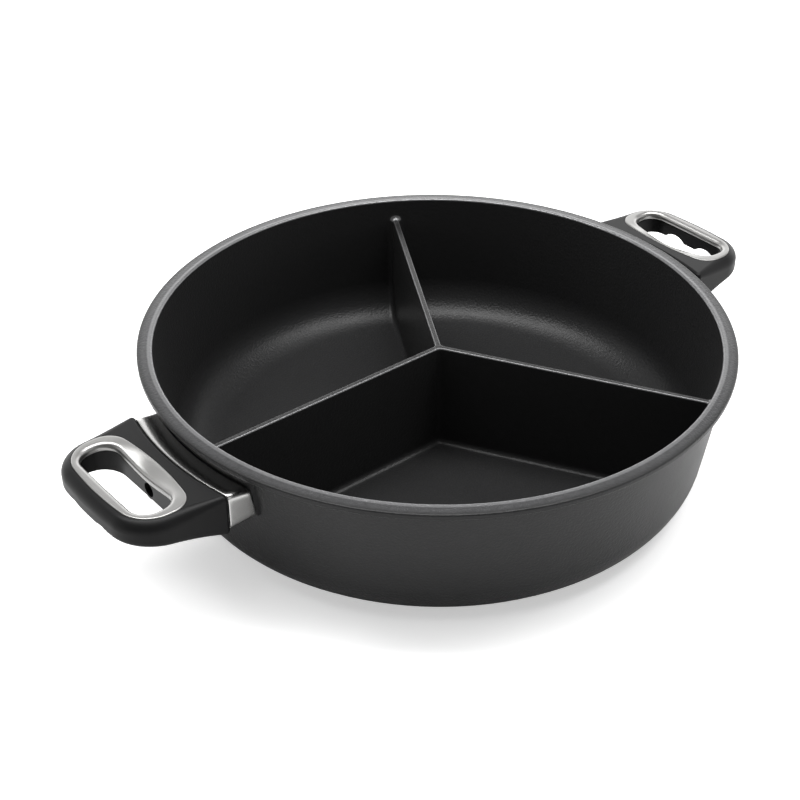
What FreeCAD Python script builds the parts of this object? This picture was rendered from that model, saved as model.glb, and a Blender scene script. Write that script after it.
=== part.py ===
import FreeCAD, Part
import math
import os

# Divided frying pan: one aluminium casting with three compartments and two side handles.
# The origin is the centre of the sole, +Z is up and the handles lie along X.

V = FreeCAD.Vector

# Casting: bowl
pan_height = 73.5
rim_radius = 146.0
rim_overhang = 4.0
rim_edge_height = 3.0
rim_fall = 0.5
rim_edge_round = 0.8
lip_round = 1.2
wall_thickness = 3.8
wall_taper = 7.9
heel_radius = 22.0
floor_height = 7.0
cove_radius = 21.0
under_rim_fillet = 2.2
sole_inset = 4.0
sole_step = 0.6

# Casting: three divider walls
divider_count = 3
divider_drop = 11.0
divider_top_thickness = 3.0
divider_draft = 1.8
divider_top_round = 0.9
divider_corner = 3.4
divider_root = 3.0

# Casting: handle pads and lugs
pad_proud = 1.6
pad_margin = 0.3
pad_height = 22.5
pad_corner = 1.2
lug_height = 13.5
lug_side_gap = 9.0
lug_into_grip = 3.8
lug_corner = 2.0
lug_bore_depth = 12.0

# Flame guard sleeve
guard_length = 12.3
guard_sheet = 1.0
guard_below_grip = 0.7
guard_top_fall = 1.5
guard_height = 19.0
guard_corner = 3.4
guard_inset = 1.2

# Grip: moulded loop
grip_length = 41.9
grip_half_width = 39.2
grip_end_narrowing = 2.8
grip_outer_bow = 3.0
grip_corner = 20.0
grip_root_corner = 1.8
grip_drop = 7.0
grip_root_depth = 22.2
grip_mid_depth = 14.4
grip_tip_depth = 11.6
grip_top_round = 5.5
grip_root_round = 2.2
grip_bottom_round = 2.4
finger_pitch = 22.0
finger_radius = 9.5
finger_depth = 2.3

# Finger opening, set by the bars round it
near_bar = 11.9
far_bar = 8.6
side_bar = 10.0
opening_corner = 9.5
opening_bow = 0.4

# Trim ring: a flange round the opening, a scoop and a collar
flange_near = 5.9
flange_far = 3.8
flange_side = 4.1
ring_near_bow = 3.4
ring_far_bow = 3.2
ring_near_corner = 10.5
ring_far_corner = 15.0
ring_sheet = 1.2
ring_proud = 0.25
ring_collar_depth = 4.0
ring_round = 2.2
ring_edge_round = 0.4
scoop_depth = 3.2
scoop_end_margin = 1.2
scoop_margin = 0.6
scoop_steps = 4
scoop_end_depth = 0.02

# Screw and lock washer
thread_radius = 2.0
head_radius = 3.2
head_height = 3.0
head_round = 1.2
screw_point = 0.6
screw_tip_gap = 1.0
slot_size = 1.1
counterbore_radius = 3.5
counterbore_depth = 6.3
screw_boss_wall = 1.2
washer_height = 1.1
washer_radius = 3.1
washer_split = 0.9

# Clearances
seat_gap = 0.15
bore_clearance = 0.1

# The most of a loop's length that its two corners may take
corner_share = 0.9

# How far a cutting tool runs past a face, and the length below which two places count as one
cut_over = 1.0
hair = 0.01

# Heights worked out from the sizes above
taper_slope = math.tan(math.radians(wall_taper))
taper_cosine = math.cos(math.radians(wall_taper))
rim_under = pan_height - rim_fall - rim_edge_height
divider_top = pan_height - divider_drop
grip_top = pan_height - grip_drop
ring_top = grip_top + ring_proud
guard_top = grip_top - guard_below_grip
guard_bottom = guard_top - guard_height
lug_bottom = guard_bottom + guard_sheet + seat_gap
screw_height = lug_bottom + lug_height / 2

# Widths and reaches of the handle, each from its neighbour
guard_half_width = grip_half_width - guard_inset
pad_half_width = guard_half_width + pad_margin
lug_half_width = guard_half_width - lug_side_gap
opening_half_width = grip_half_width - side_bar
ring_half_width = opening_half_width + flange_side
scoop_half_width = opening_half_width - scoop_end_margin
screw_wall = rim_radius - rim_overhang - (rim_under - screw_height) * taper_slope
grip_inner_radius = screw_wall + pad_proud + guard_length
grip_outer_reach = grip_inner_radius + grip_length
lug_reach = grip_inner_radius + lug_into_grip
opening_near = grip_inner_radius + near_bar
opening_far = grip_outer_reach - far_bar
opening_middle = (opening_near + opening_far) / 2
hole_near = opening_near + bore_clearance + ring_sheet
ring_near = opening_near - flange_near
ring_far = opening_far + flange_far
counterbore_floor = opening_near - counterbore_depth
guard_end = grip_inner_radius - seat_gap
guard_run = guard_end - screw_wall - pad_proud
guard_arch = (guard_run ** 2 + guard_top_fall ** 2) / (2 * guard_top_fall)


def outer_wall(height):
    """Radius of the tapered outside wall at a height."""
    return rim_radius - rim_overhang - (rim_under - height) * taper_slope


def inner_wall(height):
    return outer_wall(height) - wall_thickness / taper_cosine


def mid_wall(height):
    """Radius half way through the wall, where pads and lugs begin."""
    return (outer_wall(height) + inner_wall(height)) / 2


def circle_edge(shape, radius, height):
    """The edge of a turned solid that is a circle of this radius at this height."""
    for edge in shape.Edges:
        curve = edge.Curve
        if isinstance(curve, Part.Circle) and abs(curve.Radius - radius) < hair:
            if abs(curve.Center.z - height) < hair:
                return edge
    raise ValueError("no such circle")


def turned(points, corner_radius, corner_floor):
    """Turn a half profile round Z: a floor, a rounded corner into the tapered wall, then points."""
    wall = points[0]
    centre_height = corner_floor + corner_radius
    wall_there = wall[0] - (wall[1] - centre_height) * taper_slope
    centre_radius = wall_there - corner_radius / taper_cosine

    def on_corner(angle):
        turn = math.radians(angle)
        return V(centre_radius + corner_radius * math.cos(turn), 0,
                 centre_height + corner_radius * math.sin(turn))

    low, middle, high = (on_corner(a) for a in (-90.0, -45.0, -wall_taper))
    outline = [V(r, 0, z) for r, z in points]
    edges = [Part.makeLine(V(0, 0, corner_floor), low), Part.Arc(low, middle, high).toShape()]
    path = [high] + outline + [V(0, 0, points[-1][1])]
    edges += [Part.makeLine(a, b) for a, b in zip(path, path[1:])]
    edges.append(Part.makeLine(path[-1], V(0, 0, corner_floor)))
    return Part.Face(Part.Wire(edges)).revolve(V(0, 0, 0), V(0, 0, 1), 360)


def bowl_outside():
    """The casting as a solid block, with its rim flange and turned sole."""
    heel_wall = outer_wall(sole_step + heel_radius)
    sole_radius = heel_wall - heel_radius / taper_cosine - sole_inset
    rim_inner = inner_wall(pan_height)
    block = turned([(outer_wall(rim_under), rim_under), (rim_radius, rim_under),
                    (rim_radius, pan_height - rim_fall), (rim_inner + lip_round, pan_height)],
                   heel_radius, sole_step)
    block = block.makeFillet(under_rim_fillet,
                             [circle_edge(block, outer_wall(rim_under), rim_under)])
    block = block.makeFillet(rim_edge_round, [circle_edge(block, rim_radius, rim_under),
                                              circle_edge(block, rim_radius,
                                                          pan_height - rim_fall)])
    sole = Part.makeCone(sole_radius - sole_step, sole_radius, sole_step)
    return block.fuse(sole).removeSplitter()


def reach(edge):
    """How far an edge's middle lies from the pan's axis."""
    return math.hypot(edge.CenterOfMass.x, edge.CenterOfMass.y)


def half_way(edge):
    return edge.valueAt((edge.FirstParameter + edge.LastParameter) / 2)


def divider_blade(angle):
    """One drafted divider wall, from the centre to past the bowl wall."""
    half_top = divider_top_thickness / 2
    height = divider_top - floor_height
    half_foot = half_top + height * math.tan(math.radians(divider_draft))
    corners = [V(0, -half_foot, floor_height), V(0, half_foot, floor_height),
               V(0, half_top, divider_top), V(0, -half_top, divider_top)]
    face = Part.Face(Part.makePolygon(corners + corners[:1]))
    blade = face.extrude(V(rim_radius, 0, 0))
    blade.rotate(V(0, 0, 0), V(0, 0, 1), angle)
    return blade


def dividers():
    """The walls as one star, with rounded inside corners and rounded tops."""
    blades = [divider_blade(180.0 + 360.0 / divider_count * k) for k in range(divider_count)]
    star = blades[0].fuse(blades[1:]).removeSplitter()
    corners = [e for e in star.Edges if reach(e) < rim_radius / 2
               and e.BoundBox.ZMin < floor_height + hair and e.BoundBox.ZMax > divider_top - hair]
    star = star.makeFillet(divider_corner, corners)
    tops = [e for e in star.Edges if e.BoundBox.ZMin > divider_top - hair
            and reach(e) < rim_radius - cut_over]
    return star.makeFillet(divider_top_round, tops)


def on_axis(edge):
    """Whether an edge is a circle, or part of one, round the pan's axis."""
    if not isinstance(edge.Curve, Part.Circle):
        return False
    return math.hypot(edge.Curve.Center.x, edge.Curve.Center.y) < hair


def cavity():
    """The space inside the bowl: one turned hollow less the dividers, with cast root radii."""
    hollow = turned([(inner_wall(pan_height), pan_height)], cove_radius, floor_height)
    spaces = hollow.cut(dividers())
    roots = []
    for edge in spaces.Edges:
        middle = half_way(edge)
        on_floor = edge.BoundBox.ZMax < floor_height + hair
        on_wall = math.hypot(middle.x, middle.y) > hollow_radius(middle.z) - seat_gap
        if (on_floor or on_wall) and middle.z < pan_height - hair and not on_axis(edge):
            roots.append(edge)
    return spaces.makeFillet(divider_root, roots)


def hollow_radius(height):
    """Radius of the inside surface at a height, in the cove or on the wall."""
    centre_height = floor_height + cove_radius
    centre_radius = inner_wall(centre_height) - cove_radius / taper_cosine
    below = centre_height - height
    if below > cove_radius * math.sin(math.radians(wall_taper)):
        return centre_radius + math.sqrt(max(cove_radius ** 2 - below ** 2, 0.0))
    return inner_wall(height)


def runs(points):
    """Straight edges from point to point, given as radius and height."""
    path = [V(r, 0, z) for r, z in points]
    return [Part.makeLine(a, b) for a, b in zip(path, path[1:])]


def sector(outline, half_width):
    """Turn an outline about Z over the handle's width, and trim it to that width."""
    face = Part.Face(Part.Wire(outline))
    box = face.BoundBox
    span = 2 * math.degrees(math.asin((half_width + cut_over) / box.XMin))
    face.rotate(V(0, 0, 0), V(0, 0, 1), -span / 2)
    ring = face.revolve(V(0, 0, 0), V(0, 0, 1), span)
    trim = Part.makeBox(box.XMax + cut_over, 2 * half_width, box.ZLength,
                        V(0, -half_width, box.ZMin))
    return ring.common(trim)


def radial_edges(shape, half_width):
    """The long corner edges that run outward along a trimmed sector's two ends."""
    found = []
    for edge in shape.Edges:
        box = edge.BoundBox
        at_end = abs(abs(edge.CenterOfMass.y) - half_width) < hair
        if at_end and box.YLength < hair and box.XLength > box.ZLength:
            found.append(edge)
    return found


def pad_face(height):
    return outer_wall(height) + pad_proud


def handle_pad():
    """The raised land on the wall that the flame guard butts on."""
    low = rim_under - pad_height
    points = [(mid_wall(low), low), (pad_face(low), low),
              (pad_face(rim_under), rim_under), (mid_wall(rim_under), rim_under)]
    pad = sector(runs(points + points[:1]), pad_half_width)
    return pad.makeFillet(pad_corner, [e for e in radial_edges(pad, pad_half_width)
                                       if e.BoundBox.ZMax < low + hair])


def handle_lug():
    """The tongue that carries the handle, with its blind screw hole."""
    start = mid_wall(lug_bottom)
    lug = Part.makeBox(lug_reach - start, 2 * lug_half_width, lug_height,
                       V(start, -lug_half_width, lug_bottom))
    longs = [e for e in lug.Edges if e.BoundBox.XLength > hair]
    return lug.makeFillet(lug_corner, longs)


def lug_bore():
    return Part.makeCylinder(thread_radius + bore_clearance, lug_bore_depth + cut_over,
                             V(lug_reach + cut_over, 0, screw_height), V(-1, 0, 0))


def pan_body():
    body = bowl_outside()
    for turn in (0, 180):
        for piece in (handle_pad(), handle_lug()):
            piece.rotate(V(0, 0, 0), V(0, 0, 1), turn)
            body = body.fuse(piece)
    body = body.removeSplitter().cut(cavity())
    for turn in (0, 180):
        bore = lug_bore()
        bore.rotate(V(0, 0, 0), V(0, 0, 1), turn)
        body = body.cut(bore)
    return round_lip(body)


def round_lip(body):
    """Round the mouth's inner edge, where the rim land meets the wall."""
    lip = [e for e in body.Edges if isinstance(e.Curve, Part.Circle)
           and e.BoundBox.ZMin > pan_height - hair and e.Curve.Radius < rim_radius - hair]
    return body.makeFillet(lip_round, lip)


def loop_prism(near, far, half_width, bows, corners, low, high):
    """A prism over a rounded loop: bowed near and far sides, straight ends, rounded corners."""
    bow_near, bow_far = bows
    room = min(1.0, corner_share * (far - near) / sum(corners))
    corner_near, corner_far = (corner * room for corner in corners)
    near_arc = Part.Arc(V(near + bow_near, half_width, low), V(near, 0, low),
                        V(near + bow_near, -half_width, low)).toShape()
    far_arc = Part.Arc(V(far - bow_far, -half_width, low), V(far, 0, low),
                       V(far - bow_far, half_width, low)).toShape()
    ends = [Part.makeLine(V(near + bow_near, -half_width, low), V(far - bow_far, -half_width, low)),
            Part.makeLine(V(far - bow_far, half_width, low), V(near + bow_near, half_width, low))]
    prism = Part.Face(Part.Wire([near_arc, ends[0], far_arc, ends[1]])).extrude(V(0, 0, high - low))
    middle = (near + far) / 2
    for radius, side in ((corner_near, -1), (corner_far, 1)):
        uprights = [e for e in prism.Edges if e.BoundBox.ZLength > high - low - hair
                    and e.BoundBox.XLength < hair and (e.CenterOfMass.x - middle) * side > 0]
        prism = prism.makeFillet(radius, uprights)
    return prism


def opening_prism(low, high, grow=0.0):
    """The finger opening, or the same loop grown by a wall."""
    return loop_prism(opening_near - grow, opening_far + grow, opening_half_width + grow,
                      (opening_bow, opening_bow), (opening_corner + grow, opening_corner + grow),
                      low, high)


def ring_prism(low, high, grow=0.0):
    return loop_prism(ring_near - grow, ring_far + grow, ring_half_width + grow,
                      (ring_near_bow, ring_far_bow),
                      (ring_near_corner + grow, ring_far_corner + grow), low, high)


def scoop_section(offset, below):
    """One cross-section of the thumb scoop, at a distance along the handle's width."""
    share = offset / scoop_half_width
    start = ring_near + scoop_margin + ring_near_bow * (offset / ring_half_width) ** 2
    end = hole_near + cut_over
    drop = scoop_depth * math.cos(share * math.pi / 2) ** 2 * (end - start) / (hole_near - start)
    corners = [V(start, offset, ring_top + cut_over), V(start, offset, ring_top - below),
               V(end, offset, ring_top - below - drop - scoop_end_depth),
               V(end, offset, ring_top + cut_over)]
    return Part.makePolygon(corners + corners[:1])


def thumb_scoop(below):
    """The dished bevel on the pan side of the opening, deepest at its middle."""
    steps = [k / scoop_steps for k in range(-scoop_steps, scoop_steps + 1)]
    sections = [scoop_section(scoop_half_width * share, below) for share in steps]
    return Part.makeLoft(sections, True, False)


def ring_seat(grow=0.0):
    """The room that the trim ring's flange and scoop take up in the grip."""
    top = ring_top + cut_over
    flange = ring_prism(ring_top - ring_sheet - grow, top, grow)
    dished = ring_prism(grip_top - grip_mid_depth, top, grow).common(
        thumb_scoop(ring_sheet + grow))
    return flange.fuse(dished)


def in_mouth(edge):
    """Whether an edge lies over the finger opening, seen from above."""
    box = edge.BoundBox
    return (max(abs(box.YMin), abs(box.YMax)) < opening_half_width
            and box.XMin > opening_near and box.XMax < opening_far)


def mouth_edges(ring):
    """The loop where the ring's flat flange turns down into its collar."""
    return [e for e in ring.Edges if e.BoundBox.ZMin > ring_top - hair and in_mouth(e)]


def trim_ring():
    """Pressed steel ring: a flange, a thumb scoop on the pan side and a collar in the opening."""
    sky = Part.makeBox(grip_outer_reach, 2 * grip_half_width, 2 * cut_over,
                       V(0, -grip_half_width, ring_top))
    low = ring_top - ring_collar_depth
    collar = opening_prism(low, ring_top + cut_over, -bore_clearance)
    void = opening_prism(low - ring_sheet - scoop_depth, ring_top + 2 * cut_over,
                         opening_near - hole_near)
    ring = ring_seat().fuse(collar).removeSplitter().cut([void, sky])
    ring = ring.makeFillet(ring_round, mouth_edges(ring))
    rim = [e for e in ring.Edges if e.BoundBox.ZMin > ring_top - hair and not in_mouth(e)]
    ring = ring.makeFillet(ring_edge_round, rim)
    return ring.cut(thumb_scoop(0.0))


def grip_root():
    """How far out the grip's pan side begins, at the corners where it wraps the guard."""
    return math.sqrt(grip_inner_radius ** 2 - grip_half_width ** 2)


def grip_outline():
    """The grip seen from above, before its edges are rounded."""
    root = grip_root()
    tip = grip_outer_reach - grip_outer_bow
    tip_half = grip_half_width - grip_end_narrowing
    pan_side = Part.Arc(V(root, grip_half_width, 0), V(grip_inner_radius, 0, 0),
                        V(root, -grip_half_width, 0)).toShape()
    far_side = Part.Arc(V(tip, -tip_half, 0), V(grip_outer_reach, 0, 0),
                        V(tip, tip_half, 0)).toShape()
    ends = [Part.makeLine(V(root, -grip_half_width, 0), V(tip, -tip_half, 0)),
            Part.makeLine(V(tip, tip_half, 0), V(root, grip_half_width, 0))]
    return Part.Face(Part.Wire([pan_side, ends[0], far_side, ends[1]]))


def grip_side_view():
    """The grip seen from its end: flat on top, its underside rising outward."""
    half = grip_half_width + cut_over
    near = grip_root() - cut_over
    far = grip_outer_reach + cut_over
    low_near = V(near, -half, grip_top - grip_root_depth)
    low_middle = V((near + far) / 2, -half, grip_top - grip_mid_depth)
    low_far = V(far, -half, grip_top - grip_tip_depth)
    under = Part.Arc(low_near, low_middle, low_far).toShape()
    outline = [low_far, V(low_far.x, -half, grip_top), V(low_near.x, -half, grip_top), low_near]
    edges = [under] + [Part.makeLine(a, b) for a, b in zip(outline, outline[1:])]
    return Part.Face(Part.Wire(edges)).extrude(V(0, 2 * half, 0))


def rounded_edges(shape, radii):
    """Fillet with a start and an end radius for each edge, given as (edge, radius, radius)."""
    document = FreeCAD.newDocument()
    source = document.addObject("Part::Feature", "Source")
    source.Shape = shape
    fillet = document.addObject("Part::Fillet", "Rounded")
    fillet.Base = source
    numbers = []
    for edge, start, end in radii:
        number = next(i for i, e in enumerate(shape.Edges, 1) if e.isSame(edge))
        numbers.append((number, start, end))
    fillet.Edges = numbers
    document.recompute()
    result = fillet.Shape.copy()
    FreeCAD.closeDocument(document.Name)
    return result


def grip_blank():
    """The grip's outside form, with soft edges that tighten towards the pan."""
    blank = grip_outline().extrude(V(0, 0, pan_height)).common(grip_side_view())
    blank = blank.removeSplitter()
    uprights = [e for e in blank.Edges if e.BoundBox.XLength < hair
                and e.BoundBox.YLength < hair and e.CenterOfMass.x > opening_middle]
    blank = blank.makeFillet(grip_corner, uprights)
    radii = []
    for edge in blank.Edges:
        middle = half_way(edge)
        on_pan_side = math.hypot(middle.x, middle.y) < grip_inner_radius + hair
        if on_pan_side or edge.BoundBox.XLength < hair and edge.BoundBox.YLength < hair:
            continue
        if edge.BoundBox.ZMin > grip_top - hair:
            if isinstance(edge.Curve, Part.Line):
                start = edge.valueAt(edge.FirstParameter).x
                end = edge.valueAt(edge.LastParameter).x
                ends = (grip_root_round, grip_top_round)
                radii.append((edge,) + (ends if start < end else ends[::-1]))
            else:
                radii.append((edge, grip_top_round, grip_top_round))
        elif edge.BoundBox.ZMax < grip_top - grip_tip_depth / 2:
            radii.append((edge, grip_bottom_round, grip_bottom_round))
    blank = rounded_edges(blank, radii)
    root_uprights = [e for e in blank.Edges if e.BoundBox.XLength < hair
                     and e.BoundBox.YLength < hair and e.CenterOfMass.x < opening_near]
    return blank.makeFillet(grip_root_corner, root_uprights)


def finger_grooves():
    """Shallow rounded grooves under the outer bar, one for each of the two middle fingers."""
    under = grip_top - grip_tip_depth
    axis = under + finger_depth - finger_radius
    grooves = []
    for side in (-0.5, 0.5):
        grooves.append(Part.makeCylinder(finger_radius, grip_outer_reach - opening_middle + cut_over,
                                         V(opening_middle, side * finger_pitch, axis),
                                         V(1, 0, 0)))
    return grooves


def grip():
    """Moulded grip with its finger opening, ring seat, lug socket and screw passage."""
    boss = Part.makeCylinder(counterbore_radius + screw_boss_wall, opening_middle - lug_reach,
                             V(lug_reach, 0, screw_height), V(1, 0, 0))
    body = grip_blank().fuse(boss).removeSplitter()
    body = body.cut(opening_prism(0, pan_height))
    body = body.cut(finger_grooves())
    body = body.cut(ring_seat(bore_clearance))
    socket = Part.makeBox(lug_reach + seat_gap, 2 * (lug_half_width + seat_gap),
                          lug_height + 2 * seat_gap,
                          V(0, -lug_half_width - seat_gap, lug_bottom - seat_gap))
    passage = Part.makeCylinder(thread_radius + 2 * bore_clearance, opening_near,
                                V(0, 0, screw_height), V(1, 0, 0))
    counterbore = Part.makeCylinder(counterbore_radius, opening_middle - counterbore_floor,
                                    V(counterbore_floor, 0, screw_height), V(1, 0, 0))
    return body.cut([socket, passage, counterbore])


def guard_crown(radius):
    """Height of the guard's arched top, which is level at the grip and falls to the pan."""
    out = guard_end - radius
    return guard_top - guard_arch + math.sqrt(guard_arch ** 2 - out ** 2)


def guard_outline(inset):
    """The flame guard's section: an arched top, and an inner end that follows the pad."""
    open_end = cut_over if inset else 0.0
    low = guard_bottom + inset
    near = pad_face(guard_top - guard_top_fall - inset) + seat_gap - open_end
    middle = (near + guard_end) / 2
    path = [(near, guard_crown(near) - inset), (pad_face(low) + seat_gap - open_end, low),
            (guard_end + open_end, low), (guard_end + open_end, guard_top - inset)]
    if inset:
        path.append((guard_end, guard_top - inset))
    crown = Part.Arc(V(guard_end, 0, guard_top - inset),
                     V(middle, 0, guard_crown(middle) - inset),
                     V(near, 0, guard_crown(near) - inset)).toShape()
    return runs(path) + [crown]


def flame_guard():
    """Folded steel sleeve between the pan and the grip."""
    outside = sector(guard_outline(0.0), guard_half_width)
    outside = outside.makeFillet(guard_corner, radial_edges(outside, guard_half_width))
    inside_width = guard_half_width - guard_sheet
    inside = sector(guard_outline(guard_sheet), inside_width)
    inside = inside.makeFillet(guard_corner - guard_sheet, radial_edges(inside, inside_width))
    return outside.cut(inside)


def handle_screw():
    """Round-headed slotted screw that clamps the grip and the guard on the lug."""
    seat = counterbore_floor + washer_height
    head = Part.makeCylinder(head_radius, head_height, V(seat, 0, screw_height), V(1, 0, 0))
    head = head.makeFillet(head_round, [e for e in head.Edges
                                        if e.BoundBox.XMin > seat + head_height - hair])
    tip = lug_reach - lug_bore_depth + screw_tip_gap
    shank = Part.makeCylinder(thread_radius, seat - tip, V(tip, 0, screw_height), V(1, 0, 0))
    shank = shank.makeChamfer(screw_point, [e for e in shank.Edges
                                            if e.BoundBox.XMax < tip + hair])
    slot = Part.makeBox(slot_size, 2 * head_radius, slot_size,
                        V(seat + head_height - slot_size, -head_radius,
                          screw_height - slot_size / 2))
    return head.fuse(shank).removeSplitter().cut(slot)


def lock_washer():
    """Split spring washer under the screw head."""
    disc = Part.makeCylinder(washer_radius, washer_height, V(counterbore_floor, 0, screw_height),
                             V(1, 0, 0))
    hole = Part.makeCylinder(thread_radius + bore_clearance, washer_height,
                             V(counterbore_floor, 0, screw_height), V(1, 0, 0))
    split = Part.makeBox(washer_height, washer_split, washer_radius,
                         V(counterbore_floor, -washer_split / 2, screw_height))
    return disc.cut([hole, split])


def save(shape, name):
    shape.exportStep("parts/" + name + ".step")
    solids = len(shape.Solids)
    print(name, "solids", solids, "valid", shape.isValid(), "volume", round(shape.Volume))


os.makedirs("parts", exist_ok=True)
save(pan_body(), "pan_body")
handle_pieces = {"grip": grip(), "trim_ring": trim_ring(), "flame_guard": flame_guard(),
                 "handle_screw": handle_screw(), "lock_washer": lock_washer()}
for side, turn in (("right", 0), ("left", 180)):
    for name, piece in handle_pieces.items():
        placed = piece.copy()
        placed.rotate(V(0, 0, 0), V(0, 0, 1), turn)
        save(placed, side + "_" + name)
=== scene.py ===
import math

import bmesh
import bpy
from mathutils import Matrix, Vector


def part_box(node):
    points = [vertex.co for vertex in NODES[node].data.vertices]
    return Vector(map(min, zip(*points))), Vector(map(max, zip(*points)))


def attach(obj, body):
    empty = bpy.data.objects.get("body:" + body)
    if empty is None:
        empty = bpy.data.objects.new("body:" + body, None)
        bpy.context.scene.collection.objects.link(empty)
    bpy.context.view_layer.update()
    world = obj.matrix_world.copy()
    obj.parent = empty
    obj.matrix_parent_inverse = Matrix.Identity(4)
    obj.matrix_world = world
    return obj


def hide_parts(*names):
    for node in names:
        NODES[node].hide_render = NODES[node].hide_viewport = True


bl_info = {
    "name": "Divided frying pan",
    "version": (1, 0, 0),
    "blender": (4, 5, 0),
    "location": "View3D > Sidebar > Pan",
    "description": "Finishes for a cast pan with dividers, steel trim rings and moulded grips",
    "category": "Object",
}

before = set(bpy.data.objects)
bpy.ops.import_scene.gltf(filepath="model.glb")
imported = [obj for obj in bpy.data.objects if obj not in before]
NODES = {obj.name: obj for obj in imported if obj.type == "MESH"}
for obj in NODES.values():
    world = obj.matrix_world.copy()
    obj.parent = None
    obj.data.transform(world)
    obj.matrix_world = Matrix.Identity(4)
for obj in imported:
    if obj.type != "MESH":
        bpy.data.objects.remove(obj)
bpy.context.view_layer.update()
SIDES = ("left", "right")
RING_LOW, RING_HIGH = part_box("right_trim_ring")
GUARD_LOW, GUARD_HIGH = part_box("right_flame_guard")

# Where the painted highlight, the painted sheen and the turning marks on the pan start and
# where they are full: heights and distances from the axis in metres, and for the last two
# how far up a face looks, 0 to 1.
RIM_HEIGHT = (0.066, 0.070)
LAND_HEIGHT = (0.0700, 0.0715)
DIVIDER_TOP_HEIGHT = (0.0590, 0.0605)
SOLE_HEIGHT = (0.0004, 0.0001)
LAND_REACH = (0.1455, 0.1425)
MOUTH_REACH = (0.1415, 0.1405)
ROUNDED_FACE = (0.25, 0.45)
LEVEL_FACE = (0.90, 0.985)

# From which level of the noise to which the painted sheen on the rim's land goes from least to
# full.
MOTTLE_SPAN = (0.25, 0.62)

# How many steps the drawn loops take along each of their parts.
NEAR_STEPS, CORNER_STEPS, END_STEPS, FAR_STEPS, ROLL_STEPS = 24, 18, 3, 20, 5
FOLD_STEPS, LONG_STEPS, SHORT_STEPS = 6, 24, 4

# How far in the middle of a rounded edge lies, as a share of the edge's radius.
EDGE_MIDDLE = 0.3

# Length of one ring of the wave texture at scale 1.
WAVE_LENGTH = math.pi / 10.0

# The studio's light, each with a position from 0 to 1: its level from the horizon up to the
# zenith, and the share of it that is left from the camera's side round to the backdrop.
SKY_LEVELS = ((0.42, 0.50), (0.53, 0.24), (0.62, 0.09), (0.70, 0.05), (0.85, 0.05),
              (0.94, 1.0), (1.0, 1.0))
SIDE_SHARES = ((0.15, 0.10), (0.45, 0.5), (0.76, 0.5), (0.88, 1.0), (1.0, 1.0))


class CoatSizes(bpy.types.PropertyGroup):
    """The black coat on the casting."""

    colour: bpy.props.FloatVectorProperty(
        name="Coat colour", description="Black of the non-stick coat", subtype="COLOR",
        size=4, min=0.0, max=1.0, default=(0.0165, 0.0165, 0.0168, 1.0))
    # Edge colour: a lighter, metallic tint that paints a highlight line along the upward
    # rounded edges of the mouth and the divider tops.
    edge_highlight_colour: bpy.props.FloatVectorProperty(
        name="Edge colour", description="Metal that shows through on the top edges",
        subtype="COLOR", size=4, min=0.0, max=1.0, default=(0.17, 0.17, 0.173, 1.0))
    # Land colour: a lighter, metallic tint that paints a sheen on the rim's flat upward land.
    land_sheen_colour: bpy.props.FloatVectorProperty(
        name="Land colour", description="Metal that shows through on the rim's flat land",
        subtype="COLOR", size=4, min=0.0, max=1.0, default=(0.072, 0.072, 0.074, 1.0))
    # Worn metal: how metallic the painted highlight on the edges and the painted sheen on the
    # land are.
    highlight_and_sheen_metal: bpy.props.FloatProperty(
        name="Worn metal", description="How metallic the coat looks where it is worn",
        default=0.85, min=0.0, max=1.0, subtype="FACTOR")
    # Divider wear: how strong the painted highlight is on the dividers' edges, against the
    # rim's.
    divider_highlight_share: bpy.props.FloatProperty(
        name="Divider wear", description="Wear of the dividers' edges against the rim's",
        default=0.85, min=0.0, max=1.0, subtype="FACTOR")
    # Least mottle: how strong the painted sheen on the rim's land is where the mottle is least.
    least_land_sheen: bpy.props.FloatProperty(
        name="Least mottle", description="Wear of the rim's land where it is worn least",
        default=0.55, min=0.0, max=1.0, subtype="FACTOR")
    roughness: bpy.props.FloatProperty(
        name="Coat roughness", description="How satin the coat is", default=0.33,
        min=0.0, max=1.0, subtype="FACTOR")
    refraction: bpy.props.FloatProperty(
        name="Coat refraction", description="Index that sets how strongly the coat shines",
        default=1.31, min=1.0)
    grain_size: bpy.props.FloatProperty(
        name="Grain size", description="Width of one bump of the sprayed coat",
        default=0.0012, unit="LENGTH")
    grain_depth: bpy.props.FloatProperty(
        name="Grain depth", description="Height of the sprayed coat's bumps",
        default=0.00022, unit="LENGTH")
    turning_pitch: bpy.props.FloatProperty(
        name="Turning pitch", description="From one tool mark on the sole to the next",
        default=0.0022, unit="LENGTH")
    turning_depth: bpy.props.FloatProperty(
        name="Turning depth", description="Depth of the sole's tool marks",
        default=0.0002, unit="LENGTH")


class GripSizes(bpy.types.PropertyGroup):
    """The moulded plastic of the grips."""

    colour: bpy.props.FloatVectorProperty(
        name="Grip colour", description="Black of the moulded plastic", subtype="COLOR",
        size=4, min=0.0, max=1.0, default=(0.008, 0.008, 0.0082, 1.0))
    roughness: bpy.props.FloatProperty(
        name="Grip roughness", description="How satin the moulded skin is", default=0.36,
        min=0.0, max=1.0, subtype="FACTOR")
    refraction: bpy.props.FloatProperty(
        name="Grip refraction", description="Index that sets how strongly the plastic shines",
        default=1.22, min=1.0)
    grain_count: bpy.props.FloatProperty(
        name="Grain count", description="Bumps of the moulded skin in one metre",
        default=1900.0)
    grain_depth: bpy.props.FloatProperty(
        name="Grain depth", description="Height of the moulded skin's bumps",
        default=0.00002, unit="LENGTH")
    grain_strength: bpy.props.FloatProperty(
        name="Grain strength", description="How much the moulded skin's bumps show",
        default=0.35, min=0.0, max=1.0, subtype="FACTOR")


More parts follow.
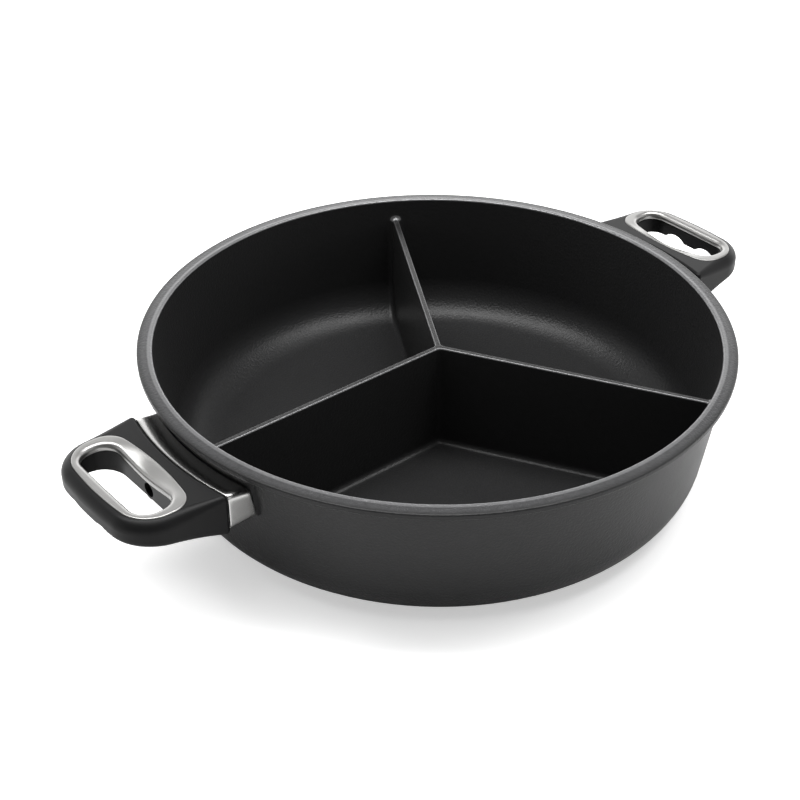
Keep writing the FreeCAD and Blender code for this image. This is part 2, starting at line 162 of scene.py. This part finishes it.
class SteelSizes(bpy.types.PropertyGroup):
    """The steel of the trim rings, flame guards, screws and washers."""

    ring_colour: bpy.props.FloatVectorProperty(
        name="Ring colour", description="Colour of the trim rings' satin steel",
        subtype="COLOR", size=4, min=0.0, max=1.0, default=(0.34, 0.337, 0.33, 1.0))
    guard_colour: bpy.props.FloatVectorProperty(
        name="Guard colour", description="Colour of the flame guards' bright steel",
        subtype="COLOR", size=4, min=0.0, max=1.0, default=(0.47, 0.466, 0.458, 1.0))
    # Screw colour: near black for the screws and washers, which keeps the counterbore holes
    # dark around their heads.
    screw_colour: bpy.props.FloatVectorProperty(
        name="Screw colour", description="Colour of the blackened screws and washers",
        subtype="COLOR", size=4, min=0.0, max=1.0, default=(0.035, 0.035, 0.037, 1.0))
    ring_roughness: bpy.props.FloatProperty(
        name="Ring roughness", description="Satin of the trim rings", default=0.34,
        min=0.0, max=1.0, subtype="FACTOR")
    guard_roughness: bpy.props.FloatProperty(
        name="Guard roughness", description="Polish of the flame guards", default=0.17,
        min=0.0, max=1.0, subtype="FACTOR")
    screw_roughness: bpy.props.FloatProperty(
        name="Screw roughness", description="Satin of the screws and washers", default=0.4,
        min=0.0, max=1.0, subtype="FACTOR")


class RingSizes(bpy.types.PropertyGroup):
    """The trim rings' outline, hole and rolled section."""

    pan_band: bpy.props.FloatProperty(
        name="Band at the pan", description="From the ring's edge to its hole on the pan side",
        default=0.0072, unit="LENGTH")
    outer_band: bpy.props.FloatProperty(
        name="Outer band", description="From the hole to the ring's edge on the outer side",
        default=0.0051, unit="LENGTH")
    end_band: bpy.props.FloatProperty(
        name="End band", description="From the hole to the ring's edge at both ends",
        default=0.0054, unit="LENGTH")
    pan_bow: bpy.props.FloatProperty(
        name="Bow at the pan", description="How far the pan side swells", default=0.0034,
        unit="LENGTH")
    outer_bow: bpy.props.FloatProperty(
        name="Outer bow", description="How far the outer side swells", default=0.0032,
        unit="LENGTH")
    hole_bow: bpy.props.FloatProperty(
        name="Hole bow", description="How far the hole's sides swell", default=0.0004,
        unit="LENGTH")
    pan_corner: bpy.props.FloatProperty(
        name="Corner at the pan", description="Radius of the outline's corners on the pan side",
        default=0.0105, unit="LENGTH")
    outer_corner: bpy.props.FloatProperty(
        name="Outer corner", description="Radius of the outline's outer corners",
        default=0.015, unit="LENGTH")
    hole_corner: bpy.props.FloatProperty(
        name="Hole corner", description="Radius of the hole's corners", default=0.0082,
        unit="LENGTH")
    sheet: bpy.props.FloatProperty(
        name="Sheet", description="Thickness of the pressed steel", default=0.0011,
        unit="LENGTH")
    edge: bpy.props.FloatProperty(
        name="Edge", description="Rounding of the ring's outer edge", default=0.0005,
        unit="LENGTH")
    roll: bpy.props.FloatProperty(
        name="Roll", description="Radius of the roll into the opening", default=0.0022,
        unit="LENGTH")
    collar: bpy.props.FloatProperty(
        name="Collar", description="How far the roll reaches down", default=0.0038,
        unit="LENGTH")
    scoop: bpy.props.FloatProperty(
        name="Scoop", description="Depth of the thumb scoop at its lip", default=0.0030,
        unit="LENGTH")
    scoop_reach: bpy.props.FloatProperty(
        name="Scoop reach", description="Half the length of the thumb scoop",
        default=0.0280, unit="LENGTH")
    scoop_lip: bpy.props.FloatProperty(
        name="Scoop lip", description="From the scoop's deepest line to the hole",
        default=0.0018, unit="LENGTH")


class GuardSizes(bpy.types.PropertyGroup):
    """The flame guards' folded sheet."""

    corner: bpy.props.FloatProperty(
        name="Corner", description="Radius of the sleeve's four folds", default=0.0034,
        unit="LENGTH")
    sheet: bpy.props.FloatProperty(
        name="Sheet", description="Thickness of the steel", default=0.001, unit="LENGTH")
    edge: bpy.props.FloatProperty(
        name="Edge", description="Rounding of the sheet's edges", default=0.0003,
        unit="LENGTH")
    top_fall: bpy.props.FloatProperty(
        name="Top fall", description="How far the top falls from the grip to the pan",
        default=0.0015, unit="LENGTH")
    pan_reach: bpy.props.FloatProperty(
        name="Pan reach", description="From the pan's axis to the sleeve's foot on the pan",
        default=0.14053, unit="LENGTH")
    lean: bpy.props.FloatProperty(
        name="Lean", description="How much the pan's wall leans out for each unit of height",
        default=0.1388)


class StageSizes(bpy.types.PropertyGroup):
    """The camera, the floor, the strip lamp and the backdrop."""

    azimuth: bpy.props.FloatProperty(
        name="Azimuth", description="Turn of the camera about Z", subtype="ANGLE",
        default=math.radians(-41.83))
    elevation: bpy.props.FloatProperty(
        name="Elevation", description="Height of the camera's axis", subtype="ANGLE",
        default=math.radians(34.5))
    roll: bpy.props.FloatProperty(
        name="Roll", description="Tilt of the picture", subtype="ANGLE",
        default=math.radians(1.44))
    place: bpy.props.FloatVectorProperty(
        name="Camera place", description="Where the camera stands", subtype="TRANSLATION",
        unit="LENGTH", size=3, default=(-0.4011, -0.4647, 0.4519))
    lens: bpy.props.FloatProperty(
        name="Lens", description="Focal length in millimetres", default=65.99)
    shift: bpy.props.FloatVectorProperty(
        name="Shift", description="Picture shift as a share of its width", size=2,
        default=(-0.0744, 0.0009))
    backdrop: bpy.props.FloatProperty(
        name="Backdrop", description="Brightness of the wide backdrop behind the pan",
        default=5.2)
    floor_glow: bpy.props.FloatProperty(
        name="Floor glow", description="What keeps the floor white to the camera",
        default=0.47)
    lamp_place: bpy.props.FloatVectorProperty(
        name="Lamp place", description="Where the strip lamp hangs", subtype="TRANSLATION",
        unit="LENGTH", size=3, default=(0.12, 0.14, 1.5))
    lamp_size: bpy.props.FloatVectorProperty(
        name="Lamp size", description="Length across the view and width of the strip lamp",
        unit="LENGTH", size=2, default=(2.6, 0.5))
    lamp_power: bpy.props.FloatProperty(
        name="Lamp power", description="Power of the strip lamp", default=31.0,
        unit="POWER")


def sizes(name):
    """One group of the scene's sizes."""
    return getattr(bpy.context.scene, name)


def new_material(name, colour, roughness, metallic=0.0):
    """A named material, and its shader with the plain values set."""
    material = bpy.data.materials.new(name)
    material.use_nodes = True
    material.diffuse_color = colour
    shader = material.node_tree.nodes["Principled BSDF"]
    shader.inputs["Base Color"].default_value = colour
    shader.inputs["Roughness"].default_value = roughness
    shader.inputs["Metallic"].default_value = metallic
    return material, shader


def add_node(owner, kind, **values):
    """A node of a material or world, with properties and inputs set by name."""
    node = owner.node_tree.nodes.new(kind)
    for name, value in values.items():
        if name in node.inputs:
            node.inputs[name].default_value = value
        else:
            setattr(node, name, value)
    return node


def join(owner, start, start_socket, end, end_socket):
    """Link one node's output to another's input."""
    owner.node_tree.links.new(start.outputs[start_socket], end.inputs[end_socket])


def object_pattern(material, kind, stretch=(1.0, 1.0, 1.0), **values):
    """A texture on the object's own coordinates, stretched along its axes."""
    place = add_node(material, "ShaderNodeTexCoord")
    mapping = add_node(material, "ShaderNodeMapping", Scale=stretch)
    texture = add_node(material, kind, **values)
    join(material, place, "Object", mapping, "Vector")
    join(material, mapping, "Vector", texture, "Vector")
    return texture


def fade(material, source, socket, span, least=0.0):
    """A smooth step of a value, from the least where the span starts to 1 where it ends."""
    step = add_node(material, "ShaderNodeMapRange", interpolation_type="SMOOTHSTEP")
    step.inputs["From Min"].default_value, step.inputs["From Max"].default_value = span
    step.inputs["To Min"].default_value = least
    join(material, source, socket, step, "Value")
    return step


def combined(material, operation, values):
    """Several values made into one, such as their product or the largest of them."""
    total = values[0]
    for value in values[1:]:
        both = add_node(material, "ShaderNodeMath", operation=operation)
        join(material, total, 0, both, 0)
        join(material, value, 0, both, 1)
        total = both
    return total


def add_bump(material, shader, pattern, depth, strength=1.0, under=None):
    """Raise the surface by a pattern, on top of an earlier bump if one is given."""
    bump = add_node(material, "ShaderNodeBump", Strength=strength, Distance=depth)
    join(material, pattern, 0, bump, "Height")
    if under:
        join(material, under, "Normal", bump, "Normal")
    join(material, bump, "Normal", shader, "Normal")
    return bump


def vary_roughness(material, shader, pattern, smoother, rougher):
    """Let a pattern move the shader's roughness down and up from its plain value."""
    plain = shader.inputs["Roughness"].default_value
    satin = add_node(material, "ShaderNodeMapRange")
    satin.inputs["To Min"].default_value = plain - smoother
    satin.inputs["To Max"].default_value = plain + rougher
    join(material, pattern, 0, satin, "Value")
    join(material, satin, "Result", shader, "Roughness")


def highlight_and_sheen_masks(material, coat):
    """Two masks of painted light: a highlight on the rounded upward top edges of mouth and
    dividers, and a sheen on the rim's flat land.
    """
    place = add_node(material, "ShaderNodeTexCoord")
    where = add_node(material, "ShaderNodeSeparateXYZ")
    facing = add_node(material, "ShaderNodeSeparateXYZ")
    flat = add_node(material, "ShaderNodeVectorMath", operation="MULTIPLY")
    flat.inputs[1].default_value = (1.0, 1.0, 0.0)
    reach = add_node(material, "ShaderNodeVectorMath", operation="LENGTH")
    join(material, place, "Object", where, "Vector")
    join(material, place, "Normal", facing, "Vector")
    join(material, place, "Object", flat, 0)
    join(material, flat, "Vector", reach, 0)
    rounded = combined(material, "MAXIMUM", (fade(material, facing, "Z", LEVEL_FACE[::-1]),
                                             fade(material, where, "Z", RIM_HEIGHT)))
    # edges: where the highlight line is painted, on the upward rounded edges of the mouth and,
    # a little weaker, the divider tops.
    edges = combined(material, "MULTIPLY", (
        fade(material, where, "Z", RIM_HEIGHT, least=coat.divider_highlight_share), rounded,
        fade(material, where, "Z", DIVIDER_TOP_HEIGHT),
        fade(material, facing, "Z", ROUNDED_FACE),
        fade(material, reach, "Value", MOUTH_REACH)))
    mottle = object_pattern(material, "ShaderNodeTexNoise", Scale=420.0, Detail=4.0)
    # land: where the sheen is painted, on the rim's flat upward land, mottled at random and
    # fading out towards its outer edge.
    land = combined(material, "MULTIPLY", (
        fade(material, mottle, "Fac", MOTTLE_SPAN, least=coat.least_land_sheen),
        fade(material, where, "Z", LAND_HEIGHT),
        fade(material, reach, "Value", LAND_REACH),
        fade(material, facing, "Z", LEVEL_FACE)))
    return edges, land


def turned_rings(material, pitch):
    """The tool marks of the turned sole, and nothing above it."""
    rings = object_pattern(material, "ShaderNodeTexWave", wave_type="RINGS",
                           rings_direction="Z", Scale=WAVE_LENGTH / pitch)
    where = add_node(material, "ShaderNodeSeparateXYZ")
    join(material, add_node(material, "ShaderNodeTexCoord"), "Object", where, "Vector")
    return combined(material, "MULTIPLY", (rings, fade(material, where, "Z", SOLE_HEIGHT)))


def paint_highlight_and_sheen(material, shader, coat):
    """Paint a highlight on the top edges and a sheen on the rim's land, by a lighter colour and
    by how metallic it is.
    """
    edges, land = highlight_and_sheen_masks(material, coat)
    tints, metals = [], []
    # Lighter, metallic tints paint the sheen on the land and the highlight on the edges.
    for mask, colour in ((land, coat.land_sheen_colour), (edges, coat.edge_highlight_colour)):
        tint = add_node(material, "ShaderNodeMix", data_type="RGBA")
        tint.inputs["A"].default_value = coat.colour
        tint.inputs["B"].default_value = colour
        join(material, mask, 0, tint, "Factor")
        tints.append(tint)
        metal = add_node(material, "ShaderNodeMath", operation="MULTIPLY")
        metal.inputs[1].default_value = coat.highlight_and_sheen_metal
        join(material, mask, 0, metal, 0)
        metals.append(metal)
    join(material, tints[0], "Result", tints[1], "A")
    join(material, tints[1], "Result", shader, "Base Color")
    join(material, combined(material, "MAXIMUM", metals), 0, shader, "Metallic")


def coat_material():
    """Sprayed non-stick coat: near black, satin, with a fine pebbled grain."""
    coat = sizes("pan_coat")
    material, shader = new_material("coated_casting", coat.colour, coat.roughness)
    shader.inputs["IOR"].default_value = coat.refraction
    # Painted highlight on the top edges and painted sheen on the rim's land.
    paint_highlight_and_sheen(material, shader, coat)
    grain = object_pattern(material, "ShaderNodeTexNoise", Scale=1.0 / coat.grain_size,
                           Detail=3.0, Roughness=0.55)
    pebbles = add_bump(material, shader, grain, coat.grain_depth)
    add_bump(material, shader, turned_rings(material, coat.turning_pitch),
             coat.turning_depth, under=pebbles)
    patches = object_pattern(material, "ShaderNodeTexNoise", Scale=38.0, Detail=4.0)
    vary_roughness(material, shader, patches, smoother=0.04, rougher=0.05)
    return material


def grip_material():
    """Moulded phenolic: black, slightly glossier than the coat, with a fine skin."""
    skin = sizes("pan_grip")
    material, shader = new_material("grip_plastic", skin.colour, skin.roughness)
    shader.inputs["IOR"].default_value = skin.refraction
    grain = object_pattern(material, "ShaderNodeTexNoise", Scale=skin.grain_count, Detail=2.0)
    add_bump(material, shader, grain, skin.grain_depth, strength=skin.grain_strength)
    patches = object_pattern(material, "ShaderNodeTexNoise", Scale=60.0, Detail=3.0)
    vary_roughness(material, shader, patches, smoother=0.04, rougher=0.05)
    return material


def steel_material(name, colour, roughness, brushing, depth=0.0):
    """Steel with fine brushing: how many lines a metre it has along each axis."""
    material, shader = new_material(name, colour, roughness, metallic=1.0)
    lines = object_pattern(material, "ShaderNodeTexNoise", stretch=brushing, Scale=1.0,
                           Detail=3.0)
    vary_roughness(material, shader, lines, smoother=0.02, rougher=0.02)
    if depth > 0.0:
        add_bump(material, shader, lines, depth, strength=0.5)
    return material


def dress(node, material):
    """Give a CAD node's object one finish."""
    mesh = NODES[node].data
    mesh.materials.clear()
    mesh.materials.append(material)


def finished(name, shape, material):
    """Turn a bmesh into a smooth-shaded piece that rides on the pan."""
    mesh = bpy.data.meshes.new(name)
    for face in shape.faces:
        face.smooth = True
    shape.to_mesh(mesh)
    shape.free()
    mesh.materials.append(material)
    piece = bpy.data.objects.new(name, mesh)
    bpy.context.scene.collection.objects.link(piece)
    softened = piece.modifiers.new("softened", "SUBSURF")
    softened.levels = softened.render_levels = 1
    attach(piece, "root")
    return piece


class PAN_OT_casting(bpy.types.Operator):
    """Finish the cast pan with its non-stick coat"""

    bl_idname = "pan.casting"
    bl_label = "Cast pan"

    def execute(self, context):
        dress("pan_body", coat_material())
        return {"FINISHED"}


class PAN_OT_grips(bpy.types.Operator):
    """Finish the two moulded grips"""

    bl_idname = "pan.grips"
    bl_label = "Grips"

    def execute(self, context):
        material = grip_material()
        for side in SIDES:
            dress(side + "_grip", material)
        return {"FINISHED"}


def loop_stations(near, far, half, near_bow, far_bow, near_corner, far_corner):
    """Places round a rounded loop with bowed long sides, each with its outward direction."""
    near_radius = (half ** 2 + near_bow ** 2) / (2.0 * near_bow)
    far_radius = (half ** 2 + far_bow ** 2) / (2.0 * far_bow)
    near_turn = math.asin((half - near_corner) / (near_radius - near_corner))
    far_turn = math.asin((half - far_corner) / (far_radius - far_corner))
    near_side, far_side = near + near_radius, far - far_radius
    near_middle = near_side - (near_radius - near_corner) * math.cos(near_turn)
    far_middle = far_side + (far_radius - far_corner) * math.cos(far_turn)
    end = math.pi / 2.0
    arcs = ((near_side, near_side, 0.0, near_radius, math.pi, math.pi - near_turn,
             NEAR_STEPS),
            (near_middle, near_middle, half - near_corner, near_corner, math.pi - near_turn,
             end, CORNER_STEPS),
            (near_middle, far_middle, half, 0.0, end, end, END_STEPS),
            (far_middle, far_middle, half - far_corner, far_corner, end, far_turn,
             CORNER_STEPS),
            (far_side, far_side, 0.0, far_radius, far_turn, 0.0, FAR_STEPS))
    stations = []
    for start, stop, across, radius, first, last, steps in arcs:
        for step in range(steps):
            share = (step + 0.5) / steps
            turn = first + (last - first) * share
            outward = Vector((math.cos(turn), math.sin(turn), 0.0))
            middle = Vector((start + (stop - start) * share, across, 0.0))
            stations.append((middle + outward * radius, outward))
    flip = Vector((1.0, -1.0, 1.0))
    return stations + [(place * flip, outward * flip) for place, outward in stations[::-1]]


def ring_section(ring):
    """The sheet's section: share of the way to the hole, offset, height, from edge to back."""
    edge, roll, sheet = ring.edge, ring.roll, ring.sheet
    cut = EDGE_MIDDLE * edge
    rim = [(0.0, 0.0, -sheet), (0.0, 0.0, -edge), (0.0, -cut, -cut), (0.0, -edge, 0.0)]
    top = [(share, roll * share - edge * (1.0 - share), 0.0)
           for share in (0.25, 0.5, 0.75, 1.0)]
    rolled = []
    for step in range(1, ROLL_STEPS + 1):
        turn = 0.5 * math.pi * step / ROLL_STEPS
        rolled.append((1.0, roll * (1.0 - math.sin(turn)), -roll * (1.0 - math.cos(turn))))
    under = [(1.0, 0.0, -ring.collar), (1.0, sheet, -ring.collar), (1.0, sheet, -sheet - roll),
             (1.0, roll, -sheet), (0.5, 0.5 * roll, -sheet)]
    return rim + top + rolled + under


def scoop_drop(ring, place, near, half):
    """How far the thumb scoop lowers a place on the ring."""
    if abs(place.y) > ring.scoop_reach or place.x > near + 2.0 * ring.pan_band:
        return 0.0
    start = near + ring.edge + ring.pan_bow * (place.y / half) ** 2
    deepest = near + ring.pan_band - ring.scoop_lip
    ramp = min(1.0, max(0.0, (place.x - start) / (deepest - start)))
    return ring.scoop * ramp * math.cos(0.5 * math.pi * place.y / ring.scoop_reach) ** 2


def swept_sheet(side, count, rows, place_at):
    """A closed sheet: one loop of places carried from row to row and back to its start."""
    shape = bmesh.new()
    station = shape.verts.layers.int.new("station")
    bmesh.ops.create_circle(shape, cap_ends=False, segments=count, radius=1.0)
    shape.verts.ensure_lookup_table()
    for index, vert in enumerate(shape.verts):
        vert[station] = index
    verts, first_edges, edges = shape.verts[:], shape.edges[:], shape.edges[:]
    for number, row in enumerate(rows):
        if number > 0:
            made = bmesh.ops.extrude_edge_only(shape, edges=edges)["geom"]
            verts = [part for part in made if isinstance(part, bmesh.types.BMVert)]
            edges = [part for part in made if isinstance(part, bmesh.types.BMEdge)]
        for vert in verts:
            vert.co = place_at(vert[station], row)
    bmesh.ops.bridge_loops(shape, edges=first_edges + edges)
    turn = Matrix.Rotation(0.0 if side == "right" else math.pi, 3, "Z")
    bmesh.ops.rotate(shape, verts=shape.verts[:], cent=(0.0, 0.0, 0.0), matrix=turn)
    bmesh.ops.recalc_face_normals(shape, faces=shape.faces[:])
    return shape


def trim_ring(side, material):
    """One trim ring, drawn round its outline and carried section by section into the hole."""
    ring = sizes("pan_ring")
    near, far, half, top = RING_LOW.x, RING_HIGH.x, RING_HIGH.y, RING_HIGH.z
    outline = loop_stations(near, far, half, ring.pan_bow, ring.outer_bow, ring.pan_corner,
                            ring.outer_corner)
    hole = loop_stations(near + ring.pan_band, far - ring.outer_band, half - ring.end_band,
                         ring.hole_bow, ring.hole_bow, ring.hole_corner, ring.hole_corner)

    def place_at(station, row):
        """Where one station of the loop lies in one row."""
        share, offset, height = row
        edge_place, edge_out = outline[station]
        hole_place, hole_out = hole[station]
        place = edge_place.lerp(hole_place, share) + edge_out.lerp(hole_out, share) * offset
        place.z = top + height - scoop_drop(ring, place, near, half)
        return place

    shape = swept_sheet(side, len(outline), ring_section(ring), place_at)
    piece = finished(side + "_trim_ring_piece", shape, material)
    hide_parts(side + "_trim_ring")


class PAN_OT_trim_rings(bpy.types.Operator):
    """Model the rolled steel rings in the finger openings"""

    bl_idname = "pan.trim_rings"
    bl_label = "Trim rings"

    def execute(self, context):
        steel = sizes("pan_steel")
        material = steel_material("ring_steel", steel.ring_colour, steel.ring_roughness,
                                  brushing=(60.0, 500.0, 60.0))
        for side in SIDES:
            trim_ring(side, material)
        return {"FINISHED"}


def guard_stations(half, low, high, corner):
    """Places round the sleeve's section, each with its outward direction, across and up."""
    side, top, bottom = half - corner, high - corner, low + corner
    folds = ((side, top, LONG_STEPS), (-side, top, SHORT_STEPS),
             (-side, bottom, LONG_STEPS), (side, bottom, SHORT_STEPS))
    places = []
    for number, (across, height, steps) in enumerate(folds):
        middle = Vector((across, height))
        after = Vector(folds[(number + 1) % len(folds)][:2])
        for step in range(FOLD_STEPS + 1):
            turn = 0.5 * math.pi * (number + step / FOLD_STEPS)
            outward = Vector((math.cos(turn), math.sin(turn)))
            places.append((middle, outward))
        places += [(middle.lerp(after, step / steps), outward) for step in range(1, steps)]
    return places


def guard_section(edge, sheet):
    """The sheet's section: share of the way to the pan, distance past it, depth inwards."""
    cut = EDGE_MIDDLE * edge
    return ((0.0, 0.0, edge), (0.0, cut, cut), (0.0, edge, 0.0), (0.25, 0.0, 0.0),
            (0.5, 0.0, 0.0), (0.75, 0.0, 0.0), (1.0, -edge, 0.0), (1.0, -cut, cut),
            (1.0, 0.0, edge), (1.0, 0.0, sheet - edge), (1.0, -edge, sheet),
            (0.5, 0.0, sheet), (0.0, edge, sheet), (0.0, 0.0, sheet - edge))


def flame_guard(side, material):
    """One folded sleeve, drawn round its end at the grip and carried to the pan and back."""
    guard = sizes("pan_guard")
    places = guard_stations(GUARD_HIGH.y, GUARD_LOW.z, GUARD_HIGH.z, guard.corner)

    def place_at(station, row):
        """Where one station of the loop lies in one row."""
        share, extra, inset = row
        middle, outward = places[station]
        across, height = middle + outward * (guard.corner - inset)
        length = GUARD_HIGH.x - guard.pan_reach - (height - GUARD_LOW.z) * guard.lean
        run = share * length + extra
        if height > (GUARD_LOW.z + GUARD_HIGH.z) / 2.0:
            height -= guard.top_fall * run / length
        return math.sqrt((GUARD_HIGH.x - run) ** 2 - across ** 2), across, height

    shape = swept_sheet(side, len(places), guard_section(guard.edge, guard.sheet), place_at)
    piece = finished(side + "_flame_guard_piece", shape, material)
    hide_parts(side + "_flame_guard")


class PAN_OT_flame_guards(bpy.types.Operator):
    """Model the folded steel sleeves between pan and grips"""

    bl_idname = "pan.flame_guards"
    bl_label = "Flame guards"

    def execute(self, context):
        steel = sizes("pan_steel")
        material = steel_material("guard_steel", steel.guard_colour, steel.guard_roughness,
                                  brushing=(900.0, 300.0, 900.0), depth=0.000002)
        for side in SIDES:
            flame_guard(side, material)
        return {"FINISHED"}


class PAN_OT_fasteners(bpy.types.Operator):
    """Finish the handle screws and their lock washers"""

    bl_idname = "pan.fasteners"
    bl_label = "Screws and washers"

    def execute(self, context):
        steel = sizes("pan_steel")
        material = steel_material("fastener_steel", steel.screw_colour, steel.screw_roughness,
                                  brushing=(600.0, 600.0, 600.0))
        for side in SIDES:
            dress(side + "_handle_screw", material)
            dress(side + "_lock_washer", material)
        return {"FINISHED"}


def camera_matrix(stage):
    """The camera's axes as a matrix, from its turn, height and roll."""
    turn, height, roll = stage.azimuth, stage.elevation, stage.roll
    back = Vector((math.sin(turn) * math.cos(height), -math.cos(turn) * math.cos(height),
                   math.sin(height)))
    right = Vector((math.cos(turn), math.sin(turn), 0.0))
    up = back.cross(right)
    rolled_right = math.cos(roll) * right + math.sin(roll) * up
    rolled_up = -math.sin(roll) * right + math.cos(roll) * up
    axes = Matrix((rolled_right, rolled_up, back)).transposed().to_4x4()
    axes.translation = Vector(stage.place)
    return axes


def add_camera(scene):
    """The camera that took the photo."""
    stage = sizes("pan_stage")
    data = bpy.data.cameras.new("photo_camera")
    data.sensor_width = 36.0
    data.lens = stage.lens
    data.shift_x, data.shift_y = stage.shift
    data.clip_start = 0.01
    camera = bpy.data.objects.new("photo_camera", data)
    scene.collection.objects.link(camera)
    camera.matrix_world = camera_matrix(stage)
    scene.camera = camera


def add_floor(scene):
    """A wide white floor that stays white to the camera and keeps the shadow."""
    mesh = bpy.data.meshes.new("floor")
    shape = bmesh.new()
    bmesh.ops.create_grid(shape, x_segments=1, y_segments=1, size=6.0)
    shape.to_mesh(mesh)
    shape.free()
    floor = bpy.data.objects.new("floor", mesh)
    scene.collection.objects.link(floor)
    material = bpy.data.materials.new("floor_paper")
    material.use_nodes = True
    nodes = material.node_tree.nodes
    nodes.remove(nodes["Principled BSDF"])
    paper = add_node(material, "ShaderNodeBsdfDiffuse", Color=(0.90, 0.90, 0.90, 1.0))
    glow = add_node(material, "ShaderNodeEmission", Strength=0.0)
    rays = add_node(material, "ShaderNodeLightPath")
    lift = add_node(material, "ShaderNodeMath", operation="MULTIPLY")
    lift.inputs[1].default_value = sizes("pan_stage").floor_glow
    total = add_node(material, "ShaderNodeAddShader")
    join(material, rays, "Is Camera Ray", lift, 0)
    join(material, lift, "Value", glow, "Strength")
    join(material, paper, "BSDF", total, 0)
    join(material, glow, "Emission", total, 1)
    join(material, total, "Shader", nodes["Material Output"], "Surface")
    mesh.materials.append(material)


def add_lamp(scene, name, place, across, size, power):
    """A soft rectangular lamp that points at the pan, with its long side across the view."""
    data = bpy.data.lights.new(name, "AREA")
    data.shape = "RECTANGLE"
    data.size, data.size_y = size
    data.energy = power
    lamp = bpy.data.objects.new(name, data)
    scene.collection.objects.link(lamp)
    back = Vector(place).normalized()
    side = (across - across.dot(back) * back).normalized()
    axes = Matrix((side, back.cross(side), back)).transposed().to_4x4()
    axes.translation = Vector(place)
    lamp.matrix_world = axes


def level_ramp(world, levels):
    """A ramp with a grey level at each position."""
    ramp = add_node(world, "ShaderNodeValToRGB")
    stops = ramp.color_ramp.elements
    for stop, (position, level) in zip(stops, (levels[0], levels[-1])):
        stop.position, stop.color = position, (level, level, level, 1.0)
    for position, level in levels[1:-1]:
        stops.new(position).color = (level, level, level, 1.0)
    return ramp


def add_world(scene):
    """A studio with a bright wide backdrop, dim overhead and plain on the camera's side."""
    stage = sizes("pan_stage")
    world = bpy.data.worlds.new("studio")
    scene.world = world
    world.use_nodes = True
    background = world.node_tree.nodes["Background"]
    background.inputs["Color"].default_value = (1.0, 1.0, 1.0, 1.0)
    place = add_node(world, "ShaderNodeTexCoord")
    split = add_node(world, "ShaderNodeSeparateXYZ")
    sky = level_ramp(world, SKY_LEVELS)
    facing = add_node(world, "ShaderNodeVectorMath", operation="DOT_PRODUCT")
    facing.inputs[1].default_value = (-math.sin(stage.azimuth), math.cos(stage.azimuth), 0.0)
    from_zero = add_node(world, "ShaderNodeMapRange")
    from_zero.inputs["From Min"].default_value = -1.0
    side = level_ramp(world, SIDE_SHARES)
    level = add_node(world, "ShaderNodeMath", operation="MULTIPLY")
    power = add_node(world, "ShaderNodeMath", operation="MULTIPLY")
    power.inputs[1].default_value = stage.backdrop
    rays = add_node(world, "ShaderNodeLightPath")
    shown = add_node(world, "ShaderNodeMix", B=1.0)
    join(world, place, "Generated", split, 0)
    join(world, split, "Z", sky, "Fac")
    join(world, place, "Generated", facing, 0)
    join(world, facing, "Value", from_zero, "Value")
    join(world, from_zero, "Result", side, "Fac")
    join(world, sky, "Color", level, 0)
    join(world, side, "Color", level, 1)
    join(world, level, 0, power, 0)
    join(world, rays, "Is Camera Ray", shown, "Factor")
    join(world, power, 0, shown, "A")
    join(world, shown, "Result", background, "Strength")


class PAN_OT_stage(bpy.types.Operator):
    """Add the camera, the floor, the strip lamp and the world"""

    bl_idname = "pan.stage"
    bl_label = "Stage"

    def execute(self, context):
        scene, stage = context.scene, sizes("pan_stage")
        scene.view_settings.view_transform = "Standard"
        add_camera(scene)
        add_floor(scene)
        add_world(scene)
        across = Vector((math.cos(stage.azimuth), math.sin(stage.azimuth), 0.0))
        add_lamp(scene, "top_softbox", stage.lamp_place, across, stage.lamp_size,
                 stage.lamp_power)
        return {"FINISHED"}


class PAN_PT_panel(bpy.types.Panel):
    """The pan's sizes and the steps that build it"""

    bl_idname = "PAN_PT_panel"
    bl_label = "Divided frying pan"
    bl_space_type = "VIEW_3D"
    bl_region_type = "UI"
    bl_category = "Pan"

    def draw(self, context):
        for step in STEPS:
            self.layout.operator(step.bl_idname)
        for name, group in GROUPS.items():
            box = self.layout.box()
            box.label(text=group.__doc__)
            for size in group.__annotations__:
                box.prop(getattr(context.scene, name), size)


GROUPS = {"pan_coat": CoatSizes, "pan_grip": GripSizes, "pan_steel": SteelSizes,
          "pan_ring": RingSizes, "pan_guard": GuardSizes, "pan_stage": StageSizes}
STEPS = (PAN_OT_casting, PAN_OT_grips, PAN_OT_trim_rings, PAN_OT_flame_guards,
         PAN_OT_fasteners, PAN_OT_stage)


def register():
    """Add the sizes, the steps and the panel to Blender."""
    for name, group in GROUPS.items():
        bpy.utils.register_class(group)
        setattr(bpy.types.Scene, name, bpy.props.PointerProperty(type=group))
    for step in STEPS + (PAN_PT_panel,):
        bpy.utils.register_class(step)


def unregister():
    """Take the panel, the steps and the sizes out again."""
    for step in (PAN_PT_panel,) + STEPS[::-1]:
        bpy.utils.unregister_class(step)
    for name, group in GROUPS.items():
        delattr(bpy.types.Scene, name)
        bpy.utils.unregister_class(group)


def main():
    """Run every step in order."""
    register()
    bpy.ops.pan.casting()
    bpy.ops.pan.grips()
    bpy.ops.pan.trim_rings()
    bpy.ops.pan.flame_guards()
    bpy.ops.pan.fasteners()
    bpy.ops.pan.stage()


if __name__ == "__main__":
    main()
